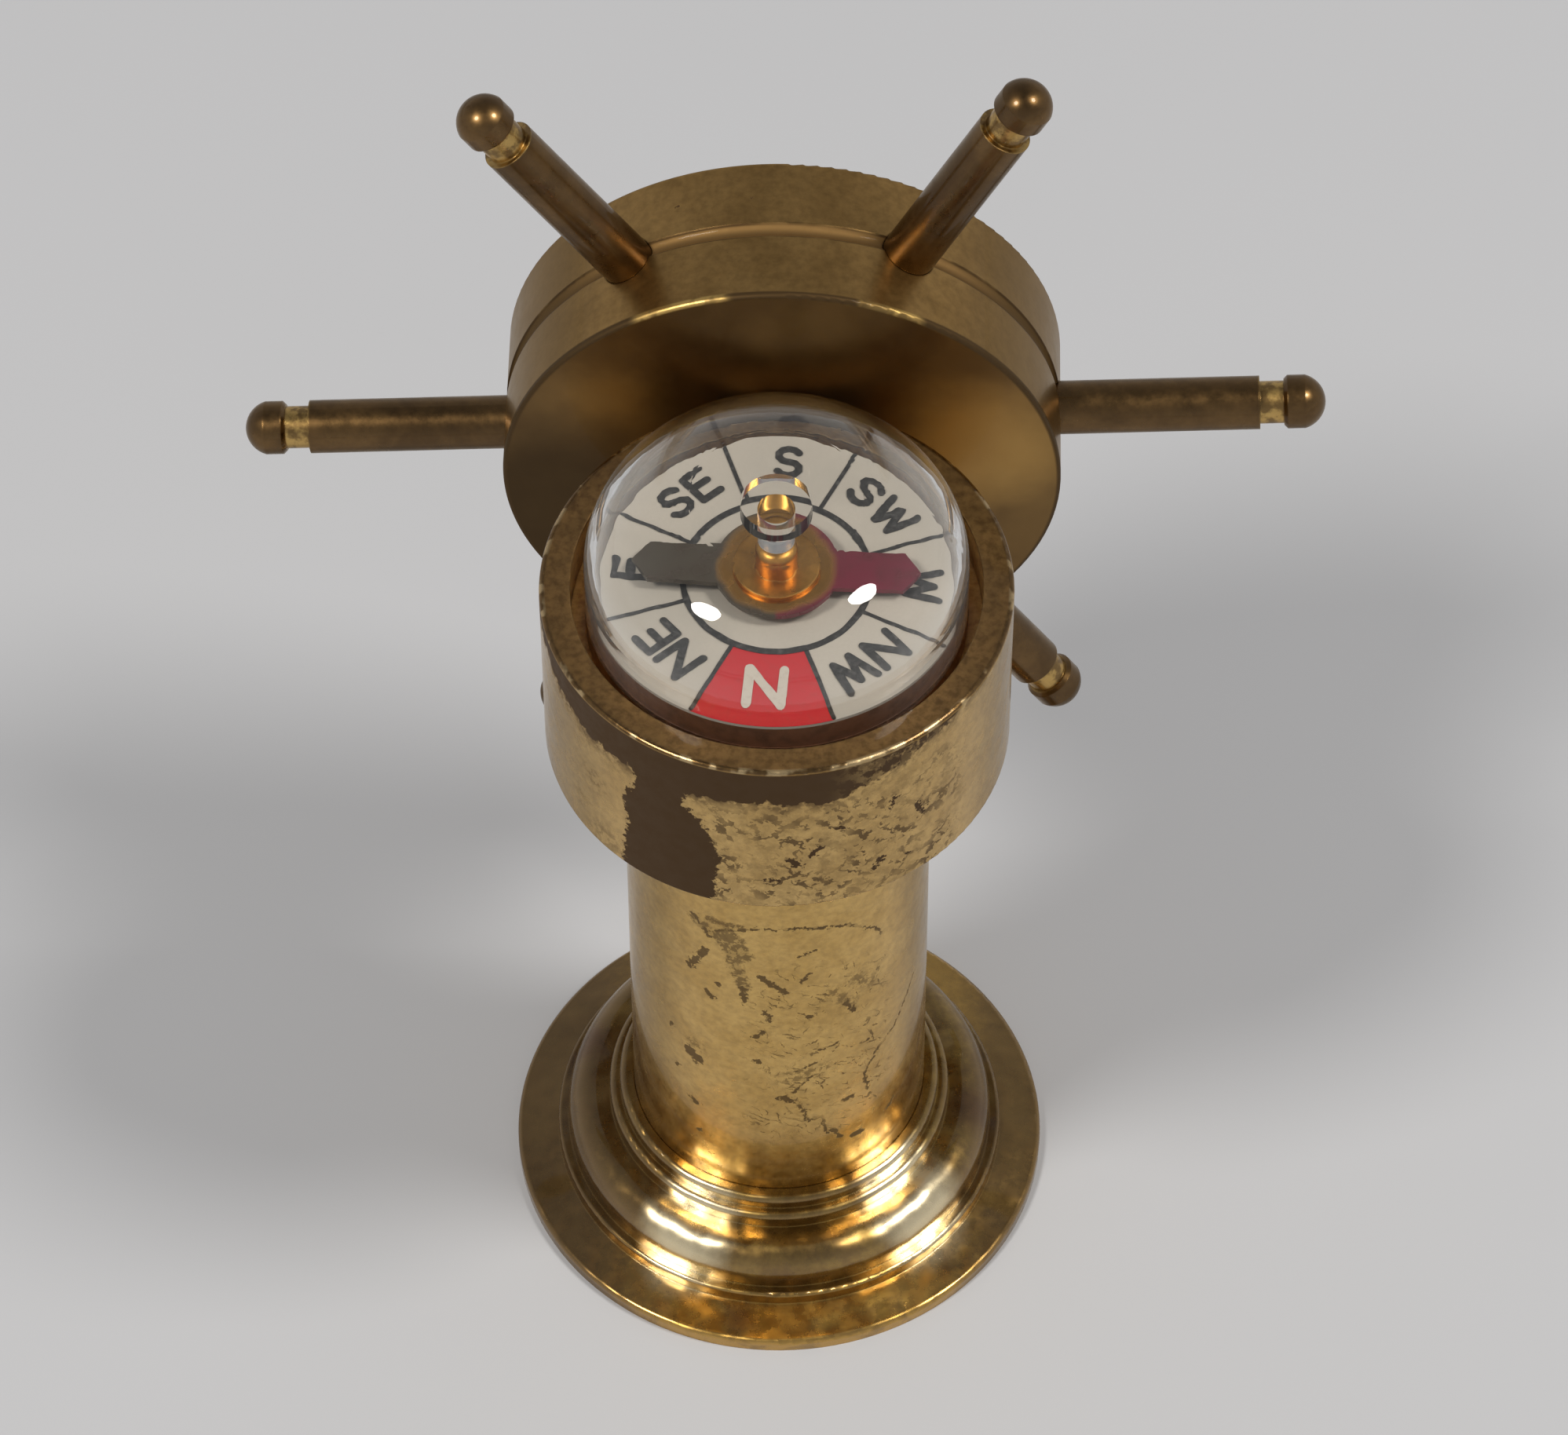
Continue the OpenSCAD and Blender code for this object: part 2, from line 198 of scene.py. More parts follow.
# Colours of the metals
LACQUER = (0.71, 0.465, 0.15, 1)
LACQUER_DULL = (0.59, 0.37, 0.105, 1)
WORN_LACQUER = (0.68, 0.45, 0.165, 1)
WORN_LACQUER_DULL = (0.57, 0.365, 0.125, 1)
CUP_BORE = (0.46, 0.26, 0.085, 1)
CUP_BORE_DULL = (0.28, 0.15, 0.05, 1)
CUP_RIM = (0.215, 0.123, 0.043, 1)
CUP_RIM_DULL = (0.13, 0.072, 0.026, 1)
# Painted glint on the cup's rim
CUP_EDGE_GLINT = (0.8, 0.6, 0.32, 1)
TARNISH = (0.44, 0.265, 0.09, 1)
TARNISH_DULL = (0.34, 0.20, 0.065, 1)
# Painted shade on the drum's sides
DRUM_SIDE_SHADE = (0.21, 0.13, 0.05, 1)
WARM = (0.37, 0.235, 0.065, 1)
WARM_DULL = (0.26, 0.155, 0.042, 1)
AMBER = (0.56, 0.33, 0.075, 1)
# Smoky tarnish, and painted shade at the foot's sides
SMOKE_AND_SHADE = (0.20, 0.12, 0.045, 1)
STAIN = (0.13, 0.065, 0.03, 1)
# Painted highlight on the foot
HIGHLIGHT_PAINT = (0.92, 0.78, 0.50, 1)
FACE_SMOKE = (0.20, 0.12, 0.044, 1)
FACE_SMOKE_DULL = (0.15, 0.088, 0.034, 1)
# Painted golden reflection and painted shade on the drum's face
FACE_GOLD_REFLECTION = (0.46, 0.275, 0.085, 1)
FACE_PAINTED_SHADE = (0.04, 0.023, 0.009, 1)
GROOVE_FRONT = (0.27, 0.16, 0.058, 1)
# Painted shade in the groove at the drum's sides
GROOVE_SIDE_SHADE = (0.10, 0.06, 0.024, 1)
# Painted shade along the drum's front edge
EDGE_SHADE = (0.10, 0.06, 0.025, 1)
SPOKE_TONE = (0.175, 0.10, 0.036, 1)
SPOKE_TONE_DULL = (0.115, 0.065, 0.024, 1)
CAP_TONE = (0.56, 0.29, 0.07, 1)
CAP_TONE_DULL = (0.46, 0.23, 0.05, 1)
OXIDE = (0.068, 0.037, 0.015, 1)
STEEL = (0.45, 0.45, 0.46, 1)
STEEL_DULL = (0.36, 0.36, 0.37, 1)
STEEL_DARK = (0.12, 0.11, 0.1, 1)
PIN_STEEL = (0.6, 0.6, 0.61, 1)
PIN_DARK = (0.2, 0.2, 0.2, 1)

# Gloss and relief of the metals
EDGE_TINT = (0.87, 0.82, 0.74, 1)
EDGE_LEVEL = 0.1
EDGE_ROUND = 0.12
EDGE_SAMPLES = 4
COAT = 0.35
COAT_ROUGHNESS = 0.05
COAT_IOR = 1.5
WORN_ROUGHER = 0.3
BARE_METAL = 0.15
BARE_DEPTH = 0.5
GRAIN_HEIGHT = 0.25
RELIEF = {"strength": 0.35, "depth_mm": 0.02}
DENT_DEPTH = 0.5

# Noise patterns: lumps to the millimetre, detail and roughness
GRAIN = (2.2, 4, 0.6)
SHEEN = (0.9, 5, 0.65)
SPECKS = (1.5, 5, 0.72)
DENTS = (0.22, 2, 0.5)


def brass_colour(m, clean, dull, dark):
    """Clean and dull patches under a fine dark grain; gives the colour and the grain."""
    patches = m.ramp(m.noise(0.28, 4, 0.6, warp=0.4), 0.36, 0.66)
    grain = m.noise(*GRAIN)
    colour = m.blend(patches, clean, dull)
    return m.blend(m.ramp(grain, 0.3, 0.75, 0.0, 0.28), colour, dark), grain


def brass_surface(
    m, colour, grain, shine, bare, dents=0.0, lines=None, coat=COAT, rougher=None
):
    """Gloss and relief of metal under a lacquer coat, which is gone where the bare mask is one.

    The shine is the roughness where it is least and most. Lines are added to the relief, and
    the rougher mask dulls the metal under the coat.
    """
    roughness = m.patchy(SHEEN, 0.3, 0.7, *shine)
    if rougher is not None:
        roughness = m.maths("MULTIPLY_ADD", rougher, WORN_ROUGHER, roughness)
    roughness = m.maths("ADD", roughness, m.maths("MULTIPLY", bare, WORN_ROUGHER))
    height = m.maths("MULTIPLY", grain, GRAIN_HEIGHT)
    if lines is not None:
        height = m.maths("ADD", height, lines)
    height = m.maths("SUBTRACT", height, m.maths("MULTIPLY", bare, BARE_DEPTH))
    rounded = m.add("Bevel", {"samples": EDGE_SAMPLES}, Radius=EDGE_ROUND * MM)
    normal = m.bump(height, **RELIEF, normal=rounded)
    if dents:
        normal = m.bump(m.noise(*DENTS), dents, DENT_DEPTH, normal)
    kept = m.inverse(bare)
    m.set(
        Base_Color=m.blend(bare, colour, OXIDE),
        Metallic=m.ramp(kept, 0.0, 1.0, BARE_METAL, 1.0),
        Roughness=roughness,
        Specular_IOR_Level=EDGE_LEVEL,
        Specular_Tint=EDGE_TINT,
        Coat_Weight=m.maths("MULTIPLY", kept, coat),
        Coat_Roughness=COAT_ROUGHNESS,
        Coat_IOR=COAT_IOR,
        Normal=normal,
    )
    return m.material


def plain_metal(name, clean, dull, dark, shine, spots=0.35):
    """Metal without a coat of lacquer; more spots leave more of it dull and bare."""
    m = Shader(name)
    colour, grain = brass_colour(m, clean, dull, dark)
    spotting = m.patchy(SPECKS, 0.72 - 0.12 * spots, 0.74)
    return brass_surface(m, colour, grain, shine, spotting, coat=0.0)


def lathe_lines(m, centre, axis, fine, strength):
    """Fine lines that a lathe leaves round an axis through centre, in millimetres."""
    offset = m.split(m.vector("SUBTRACT", m.place, tuple(c * MM for c in centre)))
    along = offset["XYZ".index(axis)]
    across = [offset[i] for i in range(3) if "XYZ"[i] != axis]
    radius = m.length(*across)
    around = m.maths("ARCTAN2", across[1], across[0])
    place = m.join(
        m.maths("MULTIPLY", radius, fine / MM), around, m.maths("MULTIPLY", along, fine / MM)
    )
    return m.maths("MULTIPLY", m.noise(1.0, 3, 0.65, place=place), strength)


def unrolled(m, radius, ragged):
    """A round wall about the Z axis laid flat, in millimetres, with a ragged shake.

    Its first part runs along the wall from the reader's side, its second up.
    """
    x, y, z = m.split(m.place)
    around = m.maths("ARCTAN2", x, m.maths("MULTIPLY", y, -1.0))
    flat = m.join(m.maths("MULTIPLY", around, radius), m.in_mm(z), 0.0)
    shake = m.noise(2.4, 3, 0.6).node.outputs["Color"]
    shake = m.vector("SUBTRACT", shake, (0.5, 0.5, 0.5))
    return m.vector("MULTIPLY_ADD", shake, (2 * ragged, 2 * ragged, 0.0), flat)


def strokes_mask(m, flat, strokes, soft=0.05, fray=0.0):
    """One inside the strokes, each a path of points and a width in millimetres.

    Soft and fray are how soft the edges are and how far they fray, in millimetres too.
    """
    nearest = None
    for path, width in strokes:
        for start, end in zip(path, path[1:] or path):
            along = Vector(end) - Vector(start)
            length = along.length
            way = (along.x / length, along.y / length, 0.0) if length else (0.0, 0.0, 0.0)
            offset = m.vector("SUBTRACT", flat, (start[0], start[1], 0.0))
            reach = m.vector("DOT_PRODUCT", offset, way, number=True)
            reach = m.add("Clamp", Value=reach, Min=0.0, Max=length)
            spot_on = m.add("VectorMath", {"operation": "SCALE"}, Vector=way, Scale=reach)
            gap = m.vector("DISTANCE", offset, spot_on, number=True)
            gap = m.maths("SUBTRACT", gap, width / 2)
            nearest = gap if nearest is None else m.maths("MINIMUM", nearest, gap)
    if fray:
        uneven = m.maths("SUBTRACT", m.noise(3.2, 3, 0.65), 0.5)
        nearest = m.maths("MULTIPLY_ADD", uneven, 2 * fray, nearest)
    return m.ramp(nearest, -soft, soft, 1.0, 0.0)


FLECK_SOFT = 0.03


def flecks(m, flat, kinds):
    """Small torn flecks; a lower level gives more of them."""
    masks = []
    for per_mm, tilt, slim, level in kinds:
        turned = m.add("VectorRotate", {"rotation_type": "Z_AXIS"}, Vector=flat, Angle=tilt * DEG)
        narrowed = m.vector("MULTIPLY", turned, (1.0, slim, 1.0))
        masks.append(m.ramp(m.noise(per_mm, 2, 0.6, place=narrowed), level, level + FLECK_SOFT))
    return m.either(*masks)


def round_patch(m, seen, centre, size, core, amount, uneven=0.0):
    """This amount in the core of a round patch, and none beyond one and a half times its size."""
    gap = m.vector("DISTANCE", seen, (*centre, 0.0), number=True)
    gap = m.maths("ADD", gap, uneven)
    return m.ramp(gap, size * core, size * 1.5, amount, 0.0)


def set_material(material, *nodes):
    for name in nodes:
        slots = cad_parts[name].data.materials
        slots.clear()
        slots.append(material)


# Wear on the column: paths and widths in millimetres, along the wall from the reader's side
# and up from the floor. Flecks: lumps to the millimetre, tilt in degrees, slimness and level.
COLUMN_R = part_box("column")[1].x / MM
COLUMN_CRACKS = [
    ([(-3.3, 30.2), (-0.8, 31.2), (1.5, 31.2), (4.1, 30.4), (6.0, 28.6), (6.3, 27.8)], 0.17),
    ([(9.5, 20.7), (8.5, 19.4), (7.4, 17.9), (6.2, 17.2), (5.2, 15.5), (5.5, 13.7)], 0.17),
    ([(2.2, 19.4), (3.7, 19.7)], 0.12),
    ([(1.0, 17.7), (2.2, 18.3)], 0.18),
    ([(1.0, 15.8), (2.0, 17.1)], 0.15),
    ([(1.3, 14.8), (1.8, 12.8), (2.6, 13.0), (2.9, 11.2)], 0.2),
]
COLUMN_DASHES = [
    ([(-4.9, 25.9), (-3.9, 28.1)], 0.4),
    ([(-4.6, 30.8), (-3.6, 29.4)], 0.25),
    ([(-0.8, 26.7), (0.6, 25.3)], 0.36),
    ([(-0.5, 23.6), (-0.3, 22.6)], 0.25),
    ([(-1.1, 21.0), (-0.7, 21.6)], 0.3),
    ([(-1.7, 25.4), (-1.7, 24.2)], 0.42),
    ([(1.3, 28.6), (2.1, 28.9)], 0.22),
    ([(1.4, 26.1), (1.8, 26.9)], 0.2),
    ([(-3.9, 24.2), (-3.5, 23.8)], 0.35),
    ([(-5.1, 17.7), (-4.5, 17.2)], 0.8),
    ([(-5.0, 13.1), (-4.6, 12.9)], 0.4),
    ([(4.0, 23.2), (4.6, 22.0)], 0.3),
    ([(4.9, 18.6), (5.5, 18.6)], 0.15),
    ([(4.6, 10.0), (5.0, 10.0)], 0.5),
    ([(7.4, 10.9), (7.0, 10.4)], 0.35),
    ([(0.4, 15.3), (0.9, 15.0)], 0.5),
    ([(4.0, 13.9), (4.4, 13.9)], 0.25),
    ([(3.2, 11.4), (3.7, 10.4)], 0.3),
]
COLUMN_DOTS = [
    ([(-3.2, 25.3)], 0.32),
    ([(-6.4, 19.0)], 0.35),
    ([(-6.0, 15.5)], 0.42),
    ([(-1.0, 18.7)], 0.45),
    ([(-4.5, 10.3)], 0.3),
    ([(1.9, 22.9)], 0.35),
    ([(5.0, 16.4)], 0.25),
    ([(0.2, 24.9)], 0.2),
]
COLUMN_SCALES = [
    ([(-4.6, 30.6), (-3.6, 30.0), (-2.6, 28.9), (-2.0, 27.0), (-1.7, 25.6)], 0.7),
    ([(-3.6, 31.0), (-1.9, 31.0)], 0.5),
    ([(-2.6, 30.0), (-2.0, 28.6)], 1.5),
]
COLUMN_SMUDGES = [
    ([(0.6, 17.2), (2.6, 17.6)], 1.1),
    ([(4.6, 25.2), (5.6, 24.0)], 1.0),
    ([(-4.8, 18.6), (-4.4, 18.4)], 0.7),
    ([(3.2, 24.6), (4.4, 23.0)], 0.9),
]
COLUMN_FRAME = {"along": (-1.4, 7.0), "up": (11.0, 27.5)}
COLUMN_FLECKS = [
    (0.9, 35, 3.0, 0.645), (1.0, -60, 2.6, 0.655), (0.5, 28, 9.0, 0.63), (0.5, 75, 8.0, 0.65),
]
COLUMN_WEAR = {"marks": 0.86, "scales": 0.72, "smudges": 0.6, "stray": 0.6}
COLUMN_RAGGED = 0.25
COLUMN_SHINE = (0.16, 0.28)


def column_brass():
    """Clean lacquer with the photo's larger cracks, chips and scales, and random small flecks."""
    m = Shader("column_brass")
    colour, grain = brass_colour(m, LACQUER, LACQUER_DULL, OXIDE)
    flat = unrolled(m, COLUMN_R, COLUMN_RAGGED)
    along, up, _ = m.split(flat)
    broken = m.patchy((0.8, 3, 0.6), 0.36, 0.44, 0.35, 1.0)
    cracks = m.both(strokes_mask(m, flat, COLUMN_CRACKS, 0.04, 0.35), broken)
    dashes = strokes_mask(m, flat, COLUMN_DASHES + COLUMN_DOTS, 0.05, 0.48)
    flaking = m.patchy((2.1, 3, 0.7), 0.44, 0.5, 0.35, 1.0)
    smeared = m.patchy((2.4, 3, 0.7), 0.45, 0.55)
    wear = {
        "marks": m.either(cracks, dashes),
        "scales": m.both(strokes_mask(m, flat, COLUMN_SCALES, 0.15, 0.6), flaking),
        "smudges": m.both(strokes_mask(m, flat, COLUMN_SMUDGES, 0.4, 0.5), smeared),
        "stray": m.both(
            m.patchy((1.3, 4, 0.7), 0.71, 0.74), m.patchy((0.2, 2, 0.5), 0.35, 0.6)
        ),
    }
    scratched = m.both(
        m.band(along, *COLUMN_FRAME["along"], 1.0), m.band(up, *COLUMN_FRAME["up"], 1.5)
    )
    uneven = m.patchy((0.35, 2, 0.5), 0.38, 0.6, 0.2, 0.75)
    faint = m.both(flecks(m, flat, COLUMN_FLECKS), scratched, uneven)
    bare = m.either(faint, *[m.both(mask, COLUMN_WEAR[name]) for name, mask in wear.items()])
    return brass_surface(m, colour, grain, COLUMN_SHINE, bare)


# Wear on the cup, measured as on the column. The rises lift the band's lower edge: from and
# to along the wall, and the lift at each.
CUP_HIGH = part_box("cup")[1]
CUP_R = CUP_HIGH.x / MM
CUP_TOP = CUP_HIGH.z / MM
CUP_PATCH = [
    ([(-6.2, 48.5), (-6.1, 45.0)], 3.0),
    ([(-5.9, 44.4), (-5.3, 42.6)], 5.0),
    ([(-5.6, 41.6), (-5.9, 38.0)], 5.5),
]
CUP_CHIPS = [
    ([(0.9, 42.9), (1.4, 42.6)], 0.5),
    ([(2.1, 43.4), (2.5, 43.8)], 0.35),
    ([(8.1, 44.9), (8.3, 43.9)], 0.35),
    ([(5.4, 40.8), (5.9, 41.6)], 0.3),
    ([(-0.4, 41.3), (0.3, 41.2)], 0.25),
    ([(3.4, 45.3), (3.9, 45.1)], 0.3),
    ([(6.6, 46.3), (6.2, 45.6)], 0.3),
    ([(7.4, 41.0)], 0.3),
]
CUP_STAINS = [([(-10.6, 44.2)], 1.6), ([(-9.9, 39.8)], 1.9), ([(-11.8, 41.5)], 1.0)]
CUP_FRAME = {"along": (-3.6, 11.0), "up": (38.0, 48.2)}
CUP_FLECKS = [(0.75, 40, 2.0, 0.565), (0.9, -35, 1.9, 0.58)]
CUP_RAGGED = 0.45
CUP_SHINE = (0.16, 0.3)
BAND_LOW = 47.7
BAND_RISES = [(2.0, 14.5, 0.0, 3.3), (-17.0, -11.0, 1.8, 0.0)]
BAND_WAVES = 2.4
BAND_ENDS = (-19.0, 15.5)
BAND_WEARS_FROM = (2.5, 8.0)
RIM_SOFT = 0.12
BORE_R = 11.6


def cup_brass():
    """Clean lacquer with a dark worn band, a dark patch and many flecks; a dull rim and bore, and
    painted glints along the rim's worn outer edge.
    """
    m = Shader("cup_brass")
    clean, grain = brass_colour(m, WORN_LACQUER, WORN_LACQUER_DULL, OXIDE)
    flat = unrolled(m, CUP_R, CUP_RAGGED)
    along, up, _ = m.split(flat)
    x, y, z = m.split(m.place)
    radius = m.in_mm(m.length(x, y))
    height = m.in_mm(z)
    wall = m.ramp(radius, BORE_R, BORE_R + RIM_SOFT)
    on_rim = m.ramp(height, CUP_TOP - 2 * RIM_SOFT, CUP_TOP - RIM_SOFT)
    inner = m.either(on_rim, m.inverse(wall))

    low_edge = BAND_LOW
    for rise in BAND_RISES:
        low_edge = m.maths("ADD", low_edge, m.ramp(along, *rise))
    waves = m.maths("MULTIPLY", m.maths("SUBTRACT", m.noise(0.5, 3, 0.6), 0.5), BAND_WAVES)
    above = m.maths("SUBTRACT", m.maths("ADD", up, waves), low_edge)
    fringe = m.both(m.ramp(above, -1.3, 0.3), m.patchy((1.3, 3, 0.65), 0.4, 0.56), 0.85)
    blotches = m.patchy((1.1, 4, 0.7), 0.47, 0.58)
    worn_through = m.both(m.ramp(along, *BAND_WEARS_FROM), blotches, 0.7)
    solid = m.both(m.ramp(above, -0.1, 0.1), m.inverse(worn_through))
    band = m.both(m.either(solid, fringe), m.band(along, *BAND_ENDS, 1.0))

    patch = strokes_mask(m, flat, CUP_PATCH, 0.08, 0.5)
    chips = strokes_mask(m, flat, CUP_CHIPS, 0.05, 0.6)
    fleck_zone = m.both(
        m.band(along, *CUP_FRAME["along"], 1.2), m.band(up, *CUP_FRAME["up"], 0.6)
    )
    uneven = m.patchy((0.5, 2, 0.5), 0.35, 0.65, 0.3, 0.85)
    faint = m.both(flecks(m, flat, CUP_FLECKS), fleck_zone, uneven)
    mottled = m.both(fleck_zone, m.patchy((0.9, 4, 0.7), 0.44, 0.6), 0.22)
    stains = m.both(strokes_mask(m, flat, CUP_STAINS, 0.6), m.ramp(grain, 0.42, 0.62), 0.5)
    bare = m.both(m.either(band, patch, chips, faint, mottled, stains), m.inverse(inner))

    worn = m.ramp(grain, 0.35, 0.7)
    bore = m.blend(worn, CUP_BORE, CUP_BORE_DULL)
    rim = m.blend(worn, CUP_RIM, CUP_RIM_DULL)
    colour = m.blend(inner, clean, m.blend(on_rim, bore, rim))
    outer_edge = m.both(
        m.ramp(radius, CUP_R - 0.35, CUP_R - 0.15), m.ramp(height, CUP_TOP - 0.5, CUP_TOP - 0.2)
    )
    # Painted glints along the worn outer edge of the rim.
    glinting_edge = m.both(outer_edge, m.patchy((0.9, 2, 0.5), 0.5, 0.6), 0.6)
    colour = m.blend(glinting_edge, colour, CUP_EDGE_GLINT)
    turned = m.both(inner, lathe_lines(m, (0, 0, 0), "Z", 2.5, 0.5))
    nicks = m.both(on_rim, m.ramp(radius, CUP_R - 0.5, CUP_R - 0.1), m.noise(2.0, 3, 0.6), 0.8)
    dull_bore = m.both(inner, m.inverse(outer_edge))
    return brass_surface(
        m, colour, grain, CUP_SHINE, bare, lines=m.either(turned, nicks), rougher=dull_bore
    )


# The foot as seen from above, in millimetres. Painted shade at its sides: from and to across
# it, and the amount at each. Stains and painted highlights: centre and size.
FOOT_FLANGE_R = 12.7
FOOT_SHADE_SPANS = [(-9.5, -3.5, 0.9, 0.0), (10.0, 14.0, 0.0, 0.75)]
FOOT_STAINS = [((10.8, -1.2), 1.8), ((-11.0, 3.0), 1.6), ((-2.0, -13.6), 1.4)]
FOOT_HIGHLIGHT_SPOTS = [((-4.9, -9.6), 2.6), ((7.6, -7.4), 2.8)]
FOOT_SHINE = (0.22, 0.34)
FOOT_COAT = 0.8
FOOT_DENTS = 1.1


def foot_brass():
    """Tarnished, glossy and slightly uneven; the flange is more amber than the rings.

    Painted shade darkens its left and right sides, and two painted highlights lie in front.
    """
    m = Shader("foot_brass")
    tarnished, grain = brass_colour(m, WARM, WARM_DULL, OXIDE)
    x, y, _ = m.split(m.place)
    radius = m.in_mm(m.length(x, y))
    wavy = m.maths("ADD", radius, m.maths("MULTIPLY", m.noise(0.6, 3, 0.6), 0.6))
    colour = m.blend(m.ramp(wavy, FOOT_FLANGE_R, FOOT_FLANGE_R + 0.5), tarnished, AMBER)
    clouds = m.ramp(m.noise(0.4, 4, 0.65, warp=0.6), 0.46, 0.66, 0.0, 0.55)
    colour = m.blend(clouds, colour, SMOKE_AND_SHADE)
    # Painted shade towards the left and right sides of the foot.
    across = m.maths("ADD", m.in_mm(x), m.maths("MULTIPLY", grain, 3.0))
    for shade in FOOT_SHADE_SPANS:
        colour = m.blend(m.ramp(across, *shade), colour, SMOKE_AND_SHADE)
    seen = m.join(m.in_mm(x), m.in_mm(y), 0.0)
    uneven = m.maths("MULTIPLY", grain, 1.2)
    for centre, size in FOOT_STAINS:
        stained = round_patch(m, seen, centre, size, 0.6, 0.75, uneven)
        colour = m.blend(stained, colour, STAIN)
    # Two painted highlights on the front of the foot's shoulder, where the lamps catch it.
    uneven = m.maths("MULTIPLY", m.noise(0.8, 4, 0.6), 1.2)
    for centre, size in FOOT_HIGHLIGHT_SPOTS:
        blotches = round_patch(m, seen, centre, size, 0.7, 0.9, uneven)
        colour = m.blend(blotches, colour, HIGHLIGHT_PAINT)
    specks = m.patchy((1.4, 5, 0.72), 0.69, 0.72)
    lines = lathe_lines(m, (0, 0, 0), "Z", 0.8, 1.4)
    return brass_surface(
        m, colour, grain, FOOT_SHINE, specks, dents=FOOT_DENTS, lines=lines, coat=FOOT_COAT
    )


WHEEL_LOW, WHEEL_HIGH = (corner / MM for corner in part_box("wheel_drum"))
AXLE_Z = (WHEEL_LOW.z + WHEEL_HIGH.z) / 2
WHEEL_R = WHEEL_HIGH.x
WHEEL_FACE_Y = WHEEL_LOW.y
GROOVE_Y = WHEEL_FACE_Y + 4.65
GROOVE_W = 0.95
# The drum as the reader sees it, in millimetres from the axle. Face patches of painted golden
# reflection and painted shade: centre, size and amount. Worn stretches of the front edge that
# carry painted highlights: from and to across the drum.
FACE_REFLECTION_SPOTS = [((10.8, 3.0), 5.0, 0.85), ((-9.6, 6.4), 3.0, 0.4)]
FACE_SHADE_SPOTS = [((-12.0, -2.5), 6.5, 0.8)]
FACE_CORE = 0.5
# Painted shade towards the drum's sides: from and to across it, and the amount at each.
DRUM_SHADE_SPAN = (8.0, 13.0, 0.0, 0.75)
WORN_LIT_EDGES = [(-7.6, -2.9), (4.3, 7.2)]
WHEEL_SHINE = (0.31, 0.37)
WHEEL_COAT = 0.1


def wheel_brass():
    """Tarnished drum with a smoky face.

    Painted golden reflections lie on the face, the larger at the right, with painted shade at
    its left and on the drum's sides. The front edge is painted dark as shade, with painted
    highlights on worn stretches of its upper half.
    """
    m = Shader("wheel_brass")
    tarnished, grain = brass_colour(m, TARNISH, TARNISH_DULL, OXIDE)
    offset = m.vector("SUBTRACT", m.place, (0.0, 0.0, AXLE_Z * MM))
    x, y, z = [m.in_mm(part) for part in m.split(offset)]
    seen = m.join(x, z, 0.0)
    radius = m.length(x, z)
    face = m.ramp(y, WHEEL_FACE_Y + 0.05, WHEEL_FACE_Y + 0.15, 1.0, 0.0)
    off_face = m.inverse(face)
    smoke = m.blend(m.patchy((0.2, 3, 0.5), 0.35, 0.65), FACE_SMOKE, FACE_SMOKE_DULL)
    uneven = m.maths("MULTIPLY", m.noise(0.4, 4, 0.6), 1.6)
    # Painted golden reflections on the face.
    for centre, size, amount in FACE_REFLECTION_SPOTS:
        gold_reflection = round_patch(m, seen, centre, size, FACE_CORE, amount, uneven)
        smoke = m.blend(gold_reflection, smoke, FACE_GOLD_REFLECTION)
    # Painted shade on the left of the face.
    for centre, size, amount in FACE_SHADE_SPOTS:
        shaded = round_patch(m, seen, centre, size, FACE_CORE, amount)
        smoke = m.blend(shaded, smoke, FACE_PAINTED_SHADE)

    # Painted shade towards the drum's left and right sides, on the rim and in the groove.
    sides = m.ramp(m.maths("ABSOLUTE", x), *DRUM_SHADE_SPAN)
    tarnished = m.blend(sides, tarnished, DRUM_SIDE_SHADE)
    off_groove = m.maths("ABSOLUTE", m.maths("SUBTRACT", y, GROOVE_Y))
    in_groove = m.ramp(off_groove, GROOVE_W / 2 - 0.05, GROOVE_W / 2, 1.0, 0.0)
    rim = m.blend(in_groove, tarnished, m.blend(sides, GROOVE_FRONT, GROOVE_SIDE_SHADE))
    groove_edge = m.band(off_groove, GROOVE_W / 2 - 0.07, GROOVE_W / 2 + 0.04, 0.05)
    grime = m.patchy((0.35, 3, 0.6), 0.35, 0.55, 0.3, 0.85)
    rim = m.blend(m.both(groove_edge, grime), rim, OXIDE)

    # Front edge painted dark as shade; painted highlights on worn stretches of its upper half.
    near_face = m.ramp(y, WHEEL_FACE_Y + 0.3, WHEEL_FACE_Y + 0.45, 1.0, 0.0)
    front_edge = m.both(m.ramp(radius, WHEEL_R - 0.3, WHEEL_R - 0.12), near_face)
    worn = m.either(*[m.band(x, start, end, 0.5) for start, end in WORN_LIT_EDGES])
    upper = m.ramp(z, 0.0, 2.0)
    blotches = m.patchy((0.9, 2, 0.5), 0.36, 0.5, 0.3, 1.0)
    bright_edge = m.both(front_edge, worn, upper, blotches)
    colour = m.blend(face, rim, smoke)
    colour = m.blend(front_edge, colour, EDGE_SHADE)
    colour = m.blend(bright_edge, colour, LACQUER)
    specks = m.both(m.patchy(SPECKS, 0.70, 0.73), off_face)
    lines = lathe_lines(m, (0, 0, AXLE_Z), "Y", 2.2, 0.6)
    rougher = m.either(
        m.both(in_groove, off_face), m.maths("SUBTRACT", front_edge, bright_edge)
    )
    return brass_surface(
        m, colour, grain, WHEEL_SHINE, specks, lines=lines, coat=WHEEL_COAT, rougher=rougher
    )


SPOKES = 6
SPOKE_NECK = (25.75, 27.05)
SPOKE_SHINE = (0.24, 0.4)
SPOKE_COAT = 0.3


